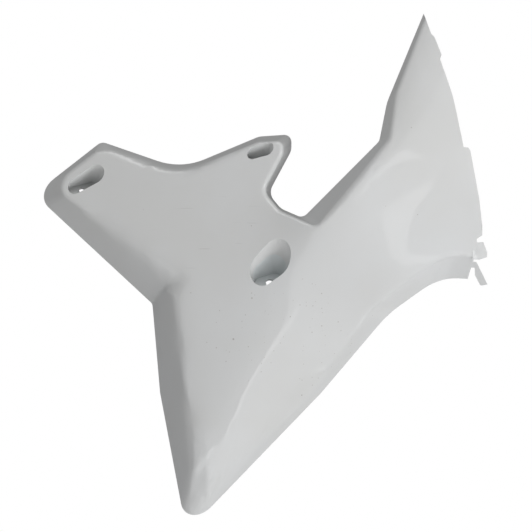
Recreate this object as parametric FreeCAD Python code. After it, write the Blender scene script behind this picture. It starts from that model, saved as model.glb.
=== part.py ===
import FreeCAD, Part
import math
import os

# Tank shroud: the moulded side panel of a motorbike, one piece, in millimetres.
# X runs to the front, Z up, and the painted face looks towards -Y.
# The origin is the centre of the middle bolt seat; heights are measured outwards from it.

# Moulding
wall = 2.6
rim_level = (-27.0, 0.17, -0.06)       # height of the flange rims: at the origin, per mm of x, per mm of z
tip_level = (-48.0, 0.17, -0.26)       # rims of the lower tip, where they stand higher
draw_low = -54.0                       # the flange walls are drawn between two levels along the left face,
draw_high = 43.0                       # given at the origin: below all rims and above the whole face
block_side = 900.0                     # cutting blocks, larger than the whole part

# Painted face
face_height = 22.0                     # left face above the middle seat
face_rise = 0.24                       # climb of the left face to the front
face_sink = 0.10                       # fall of the left face to the top
face_crown = 5.0                       # bulge of the left face over crown_span
crown_span = 230.0
fall_run = 100.0                       # run over which the fall of the front face is given
fold_share = 0.55                      # share of that fall that starts at the ridge as a straight slope
shoulder_lift = 18.0                   # front face above the left face along the notch
shoulder_foot = -14.0                  # distance from the notch line at which the shoulder starts
shoulder_top = 6.0                     # distance at which it has its whole height
shoulder_fade = 40.0                   # length below the notch over which it dies away
shoulder_full = 12.0                   # distance past the notch end at which it has its whole height

# Ridge stations: z, x of the ridge, fall of the front face
ridge = [
    (-265.0, -98.0, 30.0),
    (-215.0, -78.0, 30.0),
    (-165.0, -58.0, 29.0),
    (-112.0, -38.0, 26.0),
    (-54.0, -9.0, 15.0),
    (-3.0, 12.0, 5.0),
    (41.0, 34.0, 5.0),
    (77.0, 64.0, 9.0),
    (115.0, 103.0, 17.0),
    (146.0, 125.0, 22.0),
    (200.0, 137.0, 26.0),
    (280.0, 155.0, 28.0),
]
# Distances from the ridge at which the face is shaped
columns = [-340.0, -220.0, -120.0, -50.0, -10.0, 10.0, 50.0, 100.0, 150.0, 210.0, 300.0]

# Outline of the flanges, clockwise from the heel to the upper tip, both ends run on past the cut front edge:
# rim corner (x, z), corner radius, lean in degrees of the flange that follows, rolling radius of the fold
outline = [
    ((235.0, 1.0), 0.0, 37.0, 4.0),
    ((161.0, 5.5), 45.0, 22.0, 4.0),
    ((112.0, -29.5), 110.0, 26.5, 4.5),
    ((-80.0, -237.5), 17.0, 26.0, 5.0),
    ((-113.0, -20.0), 8.0, 36.0, 9.0),
    ((-226.8, 85.2), 20.0, 10.7, 5.0),
    ((-162.0, 135.5), 9.0, 10.0, 4.0),
    ((-85.5, 109.0), 66.0, 7.0, 4.0),
    ((-11.0, 140.0), 17.0, 8.0, 4.0),
    ((20.0, 142.0), 7.0, 11.0, 3.5),
    ((20.0, 126.5), 14.0, 7.0, 4.0),
    ((-2.0, 85.5), 12.0, 3.0, 3.5),
    ((10.0, 71.0), 16.0, 3.0, 3.0),
    ((31.0, 62.0), 7.0, 14.0, 4.5),
    ((103.0, 134.5), 12.0, 20.0, 6.0),
    ((110.5, 171.5), 40.0, 14.0, 5.0),
    ((183.0, 347.0), 0.0, 10.0, 3.0),
]
notch_corner = 13                      # rows of the outline at the foot of the notch and at its front end
notch_end = 14
beyond = (235.0, 347.0)                # corner that closes the outline past the front edge

# Cut front edge, from the upper tip down to the heel: (x, z), radius
front_edge = [
    ((145.5, 255.0), 1.0),
    ((172.5, 178.5), 150.0),
    ((183.0, 130.0), 200.0),
    ((196.5, 35.0), 4.0),
    ((187.0, 2.0), 1.0),
    ((184.0, -40.0), 1.0),
]
front_clear = 300.0                    # x up to which everything past the front edge is cut away

# Arm flange: it is cut back behind the upper arm, (z, height) of the cut from the notch to the tip
arm_side = 26.0                        # x at which the cut starts, in the notch
arm_cut = [(58.0, -29.0), (135.0, 26.3), (290.0, 30.0)]

# Bolt pockets: all bolts are parallel
bolt_tilt = 36.0                       # degrees from straight out
bolt_heading = 72.5                    # degrees from the front towards the top
mouth_stand = 26.0                     # length of the slot past its mouth centre
# Seat centre (x, z, height), mouth centre (x, z), half length and turn of the slot,
# radius of the slot at the seat and at the mouth, radius of the bolt hole
pockets = [
    ((0.0, 0.0, 0.0), (-1.5, 15.0), 6.5, 35.0, 8.5, 13.5, 4.5),
    ((-180.0, 88.5, -53.0), (-177.0, 98.5), 9.0, 26.0, 6.2, 7.8, 3.3),
    ((-13.5, 115.5, -10.0), (-10.0, 126.0), 6.0, 8.0, 4.6, 5.6, 3.3),
]

# Lap lip and tabs along the front edge
lip_set = 2.2                          # step back from the painted face
lip_wall = 2.0
lip = [
    (178.0, 129.5), (187.5, 128.5), (189.5, 125.5), (198.0, 80.5),
    (201.0, 54.0), (201.0, 45.5), (196.0, 42.0), (187.0, 42.0),
]
upper_tab = [(147.0, 238.0), (151.5, 237.0), (155.5, 233.0), (162.0, 216.5), (160.5, 211.5), (153.0, 213.0)]
hook_level = (148.0, -0.6, 0.0)
hook_tab = [(192.0, 38.5), (202.0, 39.0), (205.7, 29.5), (205.7, 24.7), (198.0, 22.0), (191.5, 22.5)]
tongue_sink = 0.8                      # tongue below the outside of the heel flange
tongue_wall = 3.2                      # along Y, on the slanted heel flange
tongue_tab = [
    (187.0, 21.0), (195.5, 20.0), (206.6, -1.5), (200.0, -2.5),
    (194.5, 7.5), (194.0, 14.5), (187.0, 15.0),
]
tab_corner = 0.8


def spot(x, z, height):
    return FreeCAD.Vector(x, -height, z)


def level_at(level, x, z):
    return level[0] + level[1] * x + level[2] * z


def smooth(value, start, end):
    share = min(1.0, max(0.0, (value - start) / (end - start)))
    return share * share * (3.0 - 2.0 * share)


def shoulder_at(x, z):
    (ax, az), (bx, bz), (cx, cz) = outline[notch_corner][0], outline[notch_end][0], front_edge[0][0]
    along = ((x - ax) * (bx - ax) + (z - az) * (bz - az)) / math.hypot(bx - ax, bz - az)
    low = ((x - ax) * (bz - az) - (z - az) * (bx - ax)) / math.hypot(bx - ax, bz - az)
    high = ((x - bx) * (cz - bz) - (z - bz) * (cx - bx)) / math.hypot(cx - bx, cz - bz)
    rise = smooth(max(low, high), shoulder_foot, shoulder_top)
    return shoulder_lift * rise * smooth(along, -shoulder_fade, shoulder_full)


def station_at(z):
    below_z = max(i for i in range(len(ridge) - 1) if ridge[i][0] <= z)
    (z0, x0, f0), (z1, x1, f1) = ridge[below_z], ridge[below_z + 1]
    share = (z - z0) / (z1 - z0)
    return x0 + (x1 - x0) * share, f0 + (f1 - f0) * share


def face_at(x, z):
    ridge_x, fall = station_at(z)
    run = x - ridge_x
    height = face_height + face_rise * min(x, ridge_x) - face_sink * z
    if run < 0.0:
        height -= face_crown * (run / crown_span) ** 2
    else:
        share = run / fall_run
        height -= fall * (fold_share * share + (1.0 - fold_share) * share ** 2)
    return height + shoulder_at(x, z)


def clamped(count):
    mults = [4] + [1] * (count - 4) + [4]
    return mults, [float(i) for i in range(len(mults))]


def make_face():
    poles = [[spot(x + run, z, face_at(x + run, z)) for run in columns] for z, x, fall in ridge]
    row_mults, row_knots = clamped(len(ridge))
    column_mults, column_knots = clamped(len(columns))
    surface = Part.BSplineSurface()
    knots = (row_mults, column_mults, row_knots, column_knots)
    surface.buildFromPolesMultsKnots(poles, *knots, False, False, 3, 3)
    return surface.toShape()


def under(face, drop):
    lowered = face.translated(FreeCAD.Vector(0, drop, 0))
    return lowered.extrude(FreeCAD.Vector(0, block_side, 0))


def relief_at(z):
    stretch = max([i for i in range(len(arm_cut) - 1) if arm_cut[i][0] <= z] + [0])
    (z0, h0), (z1, h1) = arm_cut[stretch], arm_cut[stretch + 1]
    return h0 + (h1 - h0) * (z - z0) / (z1 - z0)


def rim_at(x, z):
    heights = [level_at(rim_level, x, z), level_at(tip_level, x, z)]
    if x > arm_side:
        heights.append(relief_at(z))
    return max(heights)


def flange_level(i, sink):
    # Level of the outside of a flange: it passes through both rim corners and leans inwards.
    (ax, az), (bx, bz) = outline[i][0], outline[i + 1][0]
    lean = math.tan(math.radians(outline[i][2]))
    length = math.hypot(bx - ax, bz - az)
    tx, tz = (bx - ax) / length, (bz - az) / length
    climb = (rim_at(bx, bz) - rim_at(ax, az)) / length
    slope_x, slope_z = climb * tx + tz / lean, climb * tz - tx / lean
    return rim_at(ax, az) - slope_x * ax - slope_z * az - sink, slope_x, slope_z


def flange_line(i, draw, inset):
    # Plan line (nx, nz, distance) in which a flange, set in by some depth, crosses a level along the left face.
    height, slope_x, slope_z = flange_level(i, 0.0)
    sink = inset * math.sqrt(1.0 + slope_x ** 2 + slope_z ** 2)
    return slope_x - face_rise, slope_z + face_sink, draw - height + sink


def crossing(first, second):
    (a, b, c), (d, e, f) = first, second
    det = a * e - b * d
    return (c * e - b * f) / det, (a * f - c * d) / det


def turn_sign(i):
    (ax, az), (bx, bz), (cx, cz) = [row[0] for row in outline[i - 1:i + 2]]
    return -1.0 if (bx - ax) * (cz - bz) - (bz - az) * (cx - bx) < 0.0 else 1.0


def flat(points):
    return Part.Face(Part.makePolygon(points + points[:1]))


def make_tray(depth):
    # Block between the two draw levels with a leaning plane for each flange and a round along each corner.
    rings = []
    for draw in (draw_low, draw_high):
        lines = [flange_line(i, draw, depth) for i in range(len(outline) - 1)]
        lines = [(1.0, 0.0, beyond[0])] + lines + [(0.0, 1.0, beyond[1])]
        plan = [crossing(lines[i], lines[i + 1]) for i in range(len(lines) - 1)] + [beyond]
        rings.append([spot(x, z, draw + face_rise * x - face_sink * z) for x, z in plan])
    low, high = rings
    sides = [flat([low[i], low[i - 1], high[i - 1], high[i]]) for i in range(len(low))]
    shell = Part.makeShell(sides + [flat(low), flat(high)])
    shell.sewShape()
    tray = Part.makeSolid(shell)
    for i in range(1, len(outline) - 1):
        middle = (low[i] + high[i]) * 0.5
        corner = min(tray.Edges, key=lambda edge: (edge.CenterOfMass - middle).Length)
        tray = tray.makeFillet(outline[i][1] + depth * turn_sign(i), [corner])
    return tray, low, high


def roll_folds(body, low, high):
    # Each corner has its own rolling radius, and it changes along the straight stretch between two corners.
    document = FreeCAD.newDocument()
    base = document.addObject("Part::Feature", "Base")
    base.Shape = body
    top = [part for part in body.Faces if getattr(part.Surface, "NbUPoles", 0) == len(ridge)][0]
    folds = []
    for number, edge in enumerate(body.Edges, 1):
        if not any(edge.isSame(other) for other in top.OuterWire.Edges):
            continue
        flange = [part for part in body.ancestorsOfType(edge, Part.Face) if not part.isSame(top)][0]
        middle = edge.valueAt(0.5 * (edge.FirstParameter + edge.LastParameter))
        upright = abs(flange.normalAt(*flange.Surface.parameter(middle)).y) < 1e-3
        if upright:
            continue
        radii = []
        for end in (edge.FirstParameter, edge.LastParameter):
            point = edge.valueAt(end)
            corner = min(range(len(low)), key=lambda i: point.distanceToLine(low[i], high[i] - low[i]))
            radii.append(outline[corner][3])
        folds.append((number, *radii))
    rolled = document.addObject("Part::Fillet", "Rolled")
    rolled.Base = base
    rolled.Edges = folds
    document.recompute()
    shape = rolled.Shape.copy()
    FreeCAD.closeDocument(document.Name)
    return shape


def rounded(points, radii):
    edges = []
    ends = []
    for i, corner in enumerate(points):
        back = points[i - 1] - corner
        ahead = points[(i + 1) % len(points)] - corner
        back.normalize()
        ahead.normalize()
        half = 0.5 * back.getAngle(ahead)
        middle = back + ahead
        middle.normalize()
        reach = radii[i] / math.tan(half)
        top = corner + middle * (radii[i] / math.sin(half) - radii[i])
        ends.append((corner + back * reach, top, corner + ahead * reach))
    for i, (start, top, end) in enumerate(ends):
        edges.append(Part.LineSegment(ends[i - 1][2], start).toShape())
        edges.append(Part.Arc(start, top, end).toShape())
    return edges


def plan_prism(points, radii):
    edges = rounded([spot(x, z, -0.5 * block_side) for x, z in points], radii)
    return Part.Face(Part.Wire(edges)).extrude(FreeCAD.Vector(0, -block_side, 0))


def front_cut():
    (ax, az), (bx, bz) = front_edge[0][0], front_edge[1][0]
    above = (2 * ax - bx, 2 * az - bz)
    lowest = front_edge[-1][0][1]
    points = [above] + [row[0] for row in front_edge[1:]] + [(front_clear, lowest), (front_clear, above[1])]
    radii = [row[1] for row in front_edge] + [tab_corner, tab_corner]
    return plan_prism(points, radii)


def arm_relief():
    points = [FreeCAD.Vector(arm_side, -height, z) for z, height in arm_cut]
    points += [FreeCAD.Vector(arm_side, block_side, arm_cut[i][0]) for i in (-1, 0)]
    return flat(points).extrude(FreeCAD.Vector(block_side, 0, 0))


def below(point, normal):
    corner = FreeCAD.Vector(-0.5 * block_side, -0.5 * block_side, -block_side)
    block = Part.makeBox(block_side, block_side, block_side, corner)
    turn = FreeCAD.Rotation(FreeCAD.Vector(0, 0, 1), normal)
    return block.transformed(FreeCAD.Placement(point, turn).toMatrix())


def below_level(level):
    return below(spot(0, 0, level[0]), FreeCAD.Vector(-level[1], -1.0, -level[2]))


bolt_axis = FreeCAD.Vector(
    math.sin(math.radians(bolt_tilt)) * math.cos(math.radians(bolt_heading)),
    -math.cos(math.radians(bolt_tilt)),
    math.sin(math.radians(bolt_tilt)) * math.sin(math.radians(bolt_heading)),
)


def slot_block(half_length, low, high, tall):
    # Slot along X with a half cone at each end, from the low radius at z = 0 to the high radius.
    up = FreeCAD.Vector(0, 0, 1)
    cone = Part.makeCone(low, high, tall, FreeCAD.Vector(0, 0, 0), up, 180.0)
    mantle = [part for part in cone.Faces if part.Surface.TypeId == "Part::GeomCone"][0]
    faces = []
    for end in (-1.0, 1.0):
        round_end = mantle.copy()
        round_end.rotate(FreeCAD.Vector(0, 0, 0), up, -90.0 * end)
        round_end.translate(FreeCAD.Vector(end * half_length, 0, 0))
        foot = [FreeCAD.Vector(x, end * low, 0) for x in (-half_length, half_length)]
        head = [FreeCAD.Vector(x, end * high, tall) for x in (half_length, -half_length)]
        faces += [round_end, flat(foot + head)]
    for radius, z in ((low, 0.0), (high, tall)):
        edges = []
        for end in (-1.0, 1.0):
            first = FreeCAD.Vector(end * half_length, end * radius, z)
            top = FreeCAD.Vector(end * (half_length + radius), 0, z)
            last = FreeCAD.Vector(end * half_length, -end * radius, z)
            edges.append(Part.Arc(first, top, last).toShape())
            edges.append(Part.LineSegment(last, FreeCAD.Vector(-last.x, last.y, z)).toShape())
        faces.append(Part.Face(Part.Wire(Part.sortEdges(edges)[0])))
    shell = Part.makeShell(faces)
    shell.sewShape()
    return Part.makeSolid(shell)


def pocket_body(pocket, grow):
    # The slot widens from the seat to the mouth, and its floor is square to the bolt.
    (sx, sz, height), (mx, mz), half_length, turn, seat_radius, mouth_radius, hole_radius = pocket
    seat = spot(sx, sz, height)
    axis = spot(mx, mz, face_at(mx, mz)) - seat
    slope = (mouth_radius - seat_radius) / axis.Length
    deep = 2.0 * seat_radius
    tall = deep + axis.Length + mouth_stand
    low = seat_radius + grow - slope * deep
    slot = slot_block(half_length, low, low + slope * tall, tall)
    axis.normalize()
    way = FreeCAD.Vector(math.cos(math.radians(turn)), 0, math.sin(math.radians(turn)))
    side = axis.cross(way)
    turned = FreeCAD.Rotation(way, side, axis, "ZYX")
    slot = slot.transformed(FreeCAD.Placement(seat - axis * deep, turned).toMatrix())
    return slot.cut(below(seat - bolt_axis * grow, bolt_axis))


def bolt_hole(pocket):
    start = spot(*pocket[0]) - bolt_axis * 2.0 * wall
    return Part.makeCylinder(pocket[6], 4.0 * wall, start, bolt_axis)


def face_strip(face, points):
    prism = plan_prism(points, [tab_corner] * len(points))
    return prism.common(under(face, lip_set)).cut(under(face, lip_set + lip_wall))


def plate(points, level, thickness):
    corners = [spot(x, z, level_at(level, x, z)) for x, z in points]
    tab = Part.Face(Part.Wire(rounded(corners, [tab_corner] * len(points))))
    return tab.extrude(FreeCAD.Vector(0, thickness, 0))


face = make_face()
tray, low, high = make_tray(0.0)
outer = roll_folds(tray.common(under(face, 0.0)), low, high)
inner = make_tray(wall)[0].common(under(face, wall))
shroud = outer.cut(inner)
shroud = shroud.cut([front_cut(), arm_relief(), below_level(rim_level), below_level(tip_level)])
cups = [pocket_body(pocket, wall).common(outer) for pocket in pockets]
tabs = [
    face_strip(face, lip),
    face_strip(face, upper_tab),
    plate(hook_tab, hook_level, lip_wall),
    plate(tongue_tab, flange_level(0, tongue_sink), tongue_wall),
]
shroud = shroud.fuse(cups + tabs)
shroud = shroud.cut([pocket_body(pocket, 0.0) for pocket in pockets])
shroud = shroud.cut([bolt_hole(pocket) for pocket in pockets])
os.makedirs("parts", exist_ok=True)
shroud.exportStep("parts/tank_shroud.step")
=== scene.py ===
import math

import bpy
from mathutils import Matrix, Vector
from mathutils.kdtree import KDTree


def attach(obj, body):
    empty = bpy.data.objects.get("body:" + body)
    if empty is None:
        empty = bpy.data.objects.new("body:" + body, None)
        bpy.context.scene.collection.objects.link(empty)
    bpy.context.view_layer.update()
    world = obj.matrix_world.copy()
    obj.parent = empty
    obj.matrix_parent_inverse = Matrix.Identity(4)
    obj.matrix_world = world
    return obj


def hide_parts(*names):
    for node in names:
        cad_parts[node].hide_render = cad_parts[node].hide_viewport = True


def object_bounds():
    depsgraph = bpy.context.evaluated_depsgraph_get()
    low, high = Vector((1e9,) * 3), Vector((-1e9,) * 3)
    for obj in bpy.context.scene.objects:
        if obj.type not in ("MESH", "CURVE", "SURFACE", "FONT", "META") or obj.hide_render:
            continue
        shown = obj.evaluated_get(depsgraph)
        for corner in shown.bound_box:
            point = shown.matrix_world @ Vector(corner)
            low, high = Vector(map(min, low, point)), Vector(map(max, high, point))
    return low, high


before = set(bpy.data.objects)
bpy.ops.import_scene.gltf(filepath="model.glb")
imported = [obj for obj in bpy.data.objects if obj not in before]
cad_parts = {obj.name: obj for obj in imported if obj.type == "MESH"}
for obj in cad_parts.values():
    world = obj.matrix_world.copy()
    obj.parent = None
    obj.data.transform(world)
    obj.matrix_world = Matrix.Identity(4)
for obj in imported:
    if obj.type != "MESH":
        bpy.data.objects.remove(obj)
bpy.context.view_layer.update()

# The shroud is one injection moulding in white plastic: a crowned face, flanges that lean inwards all round,
# and three sunk bolt pockets. The mould rounds every fold, and the folds near the lower tip and the rear arm
# are the softest. Three bolts hold it to the tank side of the bike.
weld = 0.00002
longest_edge = 0.006
halvings = 5
smooth_step = 0.5
crease_angle = math.radians(34.0)
# The rims lie in two planes: height towards the viewer at the origin, rise along x, rise along z
rim_levels = [(-0.027, 0.17, -0.06), (-0.048, 0.17, -0.26)]
rim_band = 0.0035                      # within this height the rims and cut edges stay as they are
# Folds to soften: points (x, z) along the fold, reach to both sides, passes
soft_folds = [
    ([(-0.060, -0.212), (-0.056, -0.182), (-0.006, -0.138), (0.040, -0.097)], 0.018, 60),
    ([(-0.074, -0.205), (-0.076, -0.150), (-0.084, -0.060), (-0.091, 0.002)], 0.013, 40),
    ([(-0.091, 0.004), (-0.140, 0.050), (-0.192, 0.098)], 0.014, 45),
    ([(-0.196, 0.096), (-0.163, 0.124)], 0.010, 30),
    ([(-0.163, 0.125), (-0.088, 0.109), (-0.020, 0.132)], 0.009, 16),
]
# Areas of the pockets, (x, z) and reach, which keep their form while the folds are softened
pocket_areas = [(-0.177, 0.098, 0.029), (-0.010, 0.126, 0.020), (0.000, 0.020, 0.036)]
# The crease above the heel stays crisp while the face is evened out.
crisp_fold = [(0.040, -0.097), (0.109, -0.016), (0.150, 0.024), (0.196, 0.034)]
crisp_reach = 0.012
calm_passes = 14
calm_angle = math.radians(24.0)
edge_clear = 0.004

bpy.ops.object.select_all(action="DESELECT")
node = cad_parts["tank_shroud"]
shell = node.copy()
shell.data = node.data.copy()
shell.name = "shroud_shell"
for key in list(shell.keys()):
    del shell[key]
shell.parent = None
bpy.context.scene.collection.objects.link(shell)
bpy.context.view_layer.objects.active = shell
shell.select_set(True)
bpy.ops.object.mode_set(mode="EDIT")
bpy.ops.mesh.select_mode(type="VERT")
bpy.ops.mesh.select_all(action="SELECT")
bpy.ops.mesh.remove_doubles(threshold=weld)
bpy.ops.mesh.customdata_custom_splitnormals_clear()
bpy.ops.object.mode_set(mode="OBJECT")


def clear_selection(element):
    bpy.ops.object.mode_set(mode="EDIT")
    bpy.ops.mesh.select_mode(type=element)
    bpy.ops.mesh.select_all(action="DESELECT")
    bpy.ops.object.mode_set(mode="OBJECT")


def halve_long_edges():
    # Halves the edges that are too long, so that the surface can be shaped evenly.
    clear_selection("EDGE")
    mesh = shell.data
    for edge in mesh.edges:
        first, second = (mesh.vertices[i].co for i in edge.vertices)
        edge.select = (first - second).length > longest_edge
    bpy.ops.object.mode_set(mode="EDIT")
    bpy.ops.mesh.subdivide(number_cuts=1, smoothness=0.0)
    bpy.ops.mesh.select_all(action="SELECT")
    bpy.ops.mesh.quads_convert_to_tris(quad_method="SHORTEST_DIAGONAL", ngon_method="BEAUTY")


def smooth_points(test, passes):
    # Smooths the points whose place passes the test.
    clear_selection("VERT")
    for vertex in shell.data.vertices:
        vertex.select = test(vertex.co)
    bpy.ops.object.mode_set(mode="EDIT")
    bpy.ops.mesh.vertices_smooth(factor=smooth_step, repeat=passes)


def line_distance(point, line):
    # Distance from a point to a line of (x, z) points, as the viewer sees it.
    nearest = 1.0
    for (ax, az), (bx, bz) in zip(line[:-1], line[1:]):
        dx, dz = bx - ax, bz - az
        share = ((point.x - ax) * dx + (point.z - az) * dz) / (dx * dx + dz * dz)
        share = min(1.0, max(0.0, share))
        nearest = min(nearest, math.hypot(point.x - ax - share * dx, point.z - az - share * dz))
    return nearest


def clear_of_rim(point):
    rim = max(level + rise_x * point.x + rise_z * point.z for level, rise_x, rise_z in rim_levels)
    return -point.y - rim > rim_band


def clear_of_pockets(point):
    return all(math.hypot(point.x - x, point.z - z) > reach for x, z, reach in pocket_areas)


for halving in range(halvings):
    halve_long_edges()
for line, reach, passes in soft_folds:
    smooth_points(lambda p: line_distance(p, line) < reach and clear_of_rim(p) and clear_of_pockets(p), passes)

# Even out the facets of the crowned face, away from all edges.
bpy.ops.mesh.select_mode(type="EDGE")
bpy.ops.mesh.select_all(action="DESELECT")
bpy.ops.mesh.edges_select_sharp(sharpness=calm_angle)
bpy.ops.mesh.select_mode(type="VERT")
bpy.ops.object.mode_set(mode="OBJECT")
edge_points = [vertex.co.copy() for vertex in shell.data.vertices if vertex.select]
edges_near = KDTree(len(edge_points))
for number, point in enumerate(edge_points):
    edges_near.insert(point, number)
edges_near.balance()
smooth_points(lambda p: edges_near.find(p)[2] > edge_clear and clear_of_rim(p)
              and line_distance(p, crisp_fold) > crisp_reach, calm_passes)
bpy.ops.object.mode_set(mode="OBJECT")
bpy.ops.object.shade_smooth_by_angle(angle=crease_angle)

# The finish: gloss white plastic outside, with grey-brown specks of road dirt below the middle bolt,
# a few hairline scuffs, and a faint unevenness of the gloss. The inside is the bare satin moulding.
paint_colour = (0.720, 0.730, 0.735, 1.0)
shade_colour = (0.690, 0.695, 0.690, 1.0)
inside_colour = (0.66, 0.67, 0.67, 1.0)
# Painted shade: a cool, slightly darker colour laid into the deep part of the middle bolt pocket, standing in
# for the bluish bounced light there.
pocket_painted_shade_colour = (0.690, 0.735, 0.745, 1.0)
speck_colour = (0.27, 0.24, 0.21, 1.0)
scuff_colour = (0.42, 0.41, 0.40, 1.0)
back_facing = 0.02                     # a normal that points this far to the back is on the inside
# Soft ovals on the face: middle x, middle z, half width, half height
dirt_oval = (0.028, -0.052, 0.085, 0.055)
scuff_oval = (-0.055, 0.045, 0.055, 0.042)
pocket_shade_oval = (0.0, 0.02, 0.026, 0.03)
oval_fade = 1.25
pocket_shade_depth = 0.010                   # the painted cool shade of the pocket starts behind this depth of the face
speck_edge = 0.07
small_speck_share = 0.45
large_speck_share = 0.55
patch_gain, patch_start = 2.2, 0.35    # patches of dirt in the oval
cloud_gain, cloud_start = 3.0, 0.38    # clouds of the two whites
scuff_turn = (0.0, 0.5, 0.0)
scuff_stretch = (26.0, 26.0, 620.0)
scuff_start, scuff_edge = 0.715, 0.03
scuff_share = 0.35
pocket_shade_share = 0.8
gloss_rough, inside_rough = 0.30, 0.52
cloud_rough, dirt_rough, scuff_rough = 0.08, 0.3, 0.2
coat_weight, dirt_coat, inside_coat = 0.55, 0.4, 0.9


class Sock:
    """A socket of a material's tree that takes part in Python expressions."""

    def __init__(self, tree, socket):
        self.tree = tree
        self.socket = socket

    def add(self, kind, settings=None, output=0, **inputs):
        node = self.tree.nodes.new(kind)
        for name, value in (settings or {}).items():
            setattr(node, name, value)
        for name, value in inputs.items():
            place = int(name[1:]) if name[0] == "_" else name.replace("_", " ")
            target = node.inputs[place]
            if isinstance(value, Sock):
                self.tree.links.new(value.socket, target)
            else:
                target.default_value = value
        return Sock(self.tree, node.outputs[output])

    def math(self, operation, *values):
        inputs = {f"_{i}": value for i, value in enumerate(values)}
        return self.add("ShaderNodeMath", {"operation": operation}, **inputs)

    def clamped(self):
        return self.math("MINIMUM", self.math("MAXIMUM", self, 0.0), 1.0)

    def __add__(self, other):
        return self.math("ADD", self, other)

    def __sub__(self, other):
        return self.math("SUBTRACT", self, other)

    def __mul__(self, other):
        return self.math("MULTIPLY", self, other)

    def __truediv__(self, other):
        return self.math("DIVIDE", self, other)

    def __rsub__(self, other):
        return self.math("SUBTRACT", other, self)

    def __gt__(self, other):
        return self.math("GREATER_THAN", self, other)

    def __lt__(self, other):
        return self.math("LESS_THAN", self, other)

    __radd__ = __add__
    __rmul__ = __mul__


paint = bpy.data.materials.new("painted_shell")
paint.use_nodes = True
tree = paint.node_tree
shader = tree.nodes["Principled BSDF"]
place = Sock(tree, tree.nodes.new("ShaderNodeTexCoord").outputs["Object"])
normal = Sock(tree, tree.nodes.new("ShaderNodeNewGeometry").outputs["Normal"])
x = place.add("ShaderNodeSeparateXYZ", None, 0, Vector=place)
y = place.add("ShaderNodeSeparateXYZ", None, 1, Vector=place)
z = place.add("ShaderNodeSeparateXYZ", None, 2, Vector=place)
back = place.add("ShaderNodeSeparateXYZ", None, 1, Vector=normal) > back_facing


def blend(factor, first, second):
    return place.add("ShaderNodeMix", {"data_type": "RGBA"}, 2, _0=factor, _6=first, _7=second)


def field(centre_x, centre_z, half_x, half_z):
    # Soft oval on the face, 1 in its middle and 0 outside.
    dx = (x - centre_x) / half_x
    dz = (z - centre_z) / half_z
    return (oval_fade - dx * dx - dz * dz).clamped()


def noise(vector, scale, detail, roughness):
    return place.add("ShaderNodeTexNoise", None, 0, Vector=vector, Scale=scale, Detail=detail,
                     Roughness=roughness)


def specks(scale, density, least, most):
    # Round specks, one in a share of the cells, with sizes between least and most of a cell.
    cells = place.add("ShaderNodeTexVoronoi", {"feature": "F1"}, 0, Vector=place, Scale=scale)
    pick = place.add("ShaderNodeTexVoronoi", {"feature": "F1"}, 1, Vector=place, Scale=scale)
    red = place.add("ShaderNodeSeparateColor", None, 0, Color=pick)
    green = place.add("ShaderNodeSeparateColor", None, 1, Color=pick)
    size = least + green * (most - least)
    return ((size - cells) / speck_edge).clamped() * (red < density)


clouds = noise(place, scale=9.0, detail=3.0, roughness=0.55)
ragged = noise(place, scale=55.0, detail=2.0, roughness=0.6)
dirty = field(*dirt_oval) * (ragged * patch_gain - patch_start).clamped()
small = specks(scale=330.0, density=dirty * 0.42 + 0.004, least=0.08, most=0.24)
large = specks(scale=170.0, density=dirty * 0.20 + 0.0015, least=0.06, most=0.20)
dirt = small.math("MAXIMUM", small * small_speck_share, large * large_speck_share)

along = place.add("ShaderNodeMapping", None, 0, Vector=place, Rotation=scuff_turn, Scale=scuff_stretch)
strands = noise(along, scale=1.0, detail=1.0, roughness=0.4)
scuffs = ((strands - scuff_start) / scuff_edge).clamped() * field(*scuff_oval)

# Painted shade: the mask of the cool pocket colour, behind the face within the middle pocket's oval.
pocket_shade = (field(*pocket_shade_oval) * (y + pocket_shade_depth > 0.0)).clamped()
base = blend(((clouds - cloud_start) * cloud_gain).clamped(), shade_colour, paint_colour)
base = blend(pocket_shade * pocket_shade_share, base, pocket_painted_shade_colour)
base = blend(scuffs * scuff_share, base, scuff_colour)
base = blend(dirt, base, speck_colour)
base = blend(back, base, inside_colour)
tree.links.new(base.socket, shader.inputs["Base Color"])
gloss = gloss_rough + clouds * cloud_rough + dirt * dirt_rough + scuffs * scuff_rough
rough = gloss + back * (inside_rough - gloss)
tree.links.new(rough.socket, shader.inputs["Roughness"])
coat = (coat_weight - dirt * dirt_coat) * (1.0 - back * inside_coat)
tree.links.new(coat.socket, shader.inputs["Coat Weight"])
shader.inputs["Coat Roughness"].default_value = 0.05
shader.inputs["Specular IOR Level"].default_value = 0.35
peel = noise(place, scale=420.0, detail=2.0, roughness=0.5)
bump = place.add("ShaderNodeBump", None, 0, Strength=0.06, Distance=0.0002, Height=peel)
tree.links.new(bump.socket, shader.inputs["Normal"])
shell.data.materials.clear()
shell.data.materials.append(paint)

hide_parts("tank_shroud")
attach(shell, "root")

# The studio: a pale matt floor below the held panel, a small lamp low on the right, wide soft lamps around
# it, and an even surround that the camera sees as white. Some lamps stand lower than the floor, so the floor
# lets their light pass.
floor_drop = 0.06
floor_radius = 1.3
floor_sides = 96
floor_colour = (0.90, 0.90, 0.90, 1.0)
floor_rough = 0.9
floor_white = 0.72                     # share of plain white in what the camera sees of the floor
surround_colour = (1.0, 1.0, 1.0, 1.0)
fill_strength = 0.20
lamp_distance = 2.0
# Lamps: name, degrees to the right of the camera, degrees above it, width, watts
lamps = [
    ("key", 29.0, -50.0, 0.22, 4.0),
    ("front", 10.0, -25.0, 1.2, 7.5),
    ("low right", 66.0, -40.0, 1.2, 6.0),
    ("front right", 50.0, -12.0, 1.2, 17.0),
    ("top", -15.0, 58.0, 1.4, 14.0),
]

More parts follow.
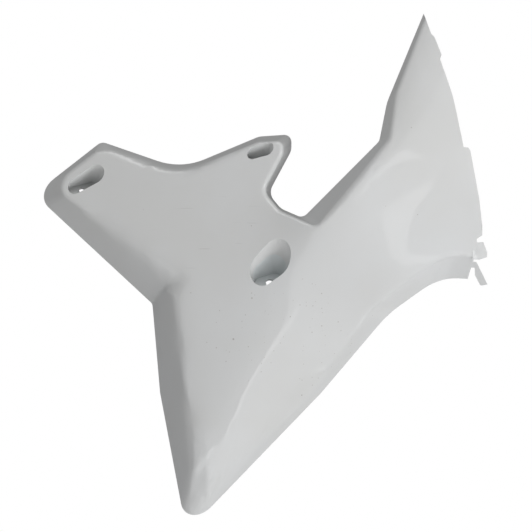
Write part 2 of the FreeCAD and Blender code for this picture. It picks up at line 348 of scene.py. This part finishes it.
low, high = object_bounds()
bpy.ops.object.select_all(action="DESELECT")
bpy.ops.mesh.primitive_circle_add(vertices=floor_sides, radius=floor_radius, fill_type="NGON",
                                  location=(0.0, 0.0, low.z - floor_drop))
floor = bpy.context.object
floor.name = "floor"
bpy.ops.object.transform_apply(location=True)
floor_finish = bpy.data.materials.new("floor_white")
floor_finish.use_nodes = True
ground = floor_finish.node_tree
matt = ground.nodes["Principled BSDF"]
matt.inputs["Base Color"].default_value = floor_colour
matt.inputs["Roughness"].default_value = floor_rough
ground_rays = ground.nodes.new("ShaderNodeLightPath")
glow = ground.nodes.new("ShaderNodeEmission")
pale = ground.nodes.new("ShaderNodeMixShader")
floor_seen = Sock(ground, ground_rays.outputs["Is Camera Ray"]) * floor_white
ground.links.new(floor_seen.socket, pale.inputs[0])
ground.links.new(matt.outputs[0], pale.inputs[1])
ground.links.new(glow.outputs[0], pale.inputs[2])
ground.links.new(pale.outputs[0], ground.nodes["Material Output"].inputs["Surface"])
floor.data.materials.append(floor_finish)
floor.visible_shadow = False

scene = bpy.context.scene
world = bpy.data.worlds.new("surround")
scene.world = world
world.use_nodes = True
air = world.node_tree
rays = air.nodes.new("ShaderNodeLightPath")
strength = Sock(air, rays.outputs["Is Camera Ray"]) * (1.0 - fill_strength) + fill_strength
air.nodes["Background"].inputs["Color"].default_value = surround_colour
air.links.new(strength.socket, air.nodes["Background"].inputs["Strength"])

for name, azimuth, elevation, width, power in lamps:
    turn, lift = math.radians(azimuth), math.radians(elevation)
    way = Vector((math.sin(turn) * math.cos(lift), -math.cos(turn) * math.cos(lift), math.sin(lift)))
    lamp_data = bpy.data.lights.new(name, "AREA")
    lamp_data.shape = "DISK"
    lamp_data.size = width
    lamp_data.energy = power
    lamp = bpy.data.objects.new(name, lamp_data)
    scene.collection.objects.link(lamp)
    lamp.location = way * lamp_distance
    lamp.rotation_euler = (-way).to_track_quat("-Z", "Y").to_euler()

# The camera stands far off and looks straight at the painted face, so that the panel shows almost without
# perspective, one photo pixel to each pixel size.
photo_pixels = 532.0
pixel_size = 0.00095
aim_x = -0.0043
aim_z = 0.0162
face_plane = -0.020
distance = 9.0
lens_data = bpy.data.cameras.new("camera")
lens_data.sensor_width = 36.0
lens_data.lens = lens_data.sensor_width * distance / (photo_pixels * pixel_size)
lens_data.clip_end = 100.0
camera = bpy.data.objects.new("camera", lens_data)
scene.collection.objects.link(camera)
camera.location = (aim_x, face_plane - distance, aim_z)
camera.rotation_euler = (math.radians(90.0), 0.0, 0.0)
scene.camera = camera
scene.view_settings.view_transform = "Standard"
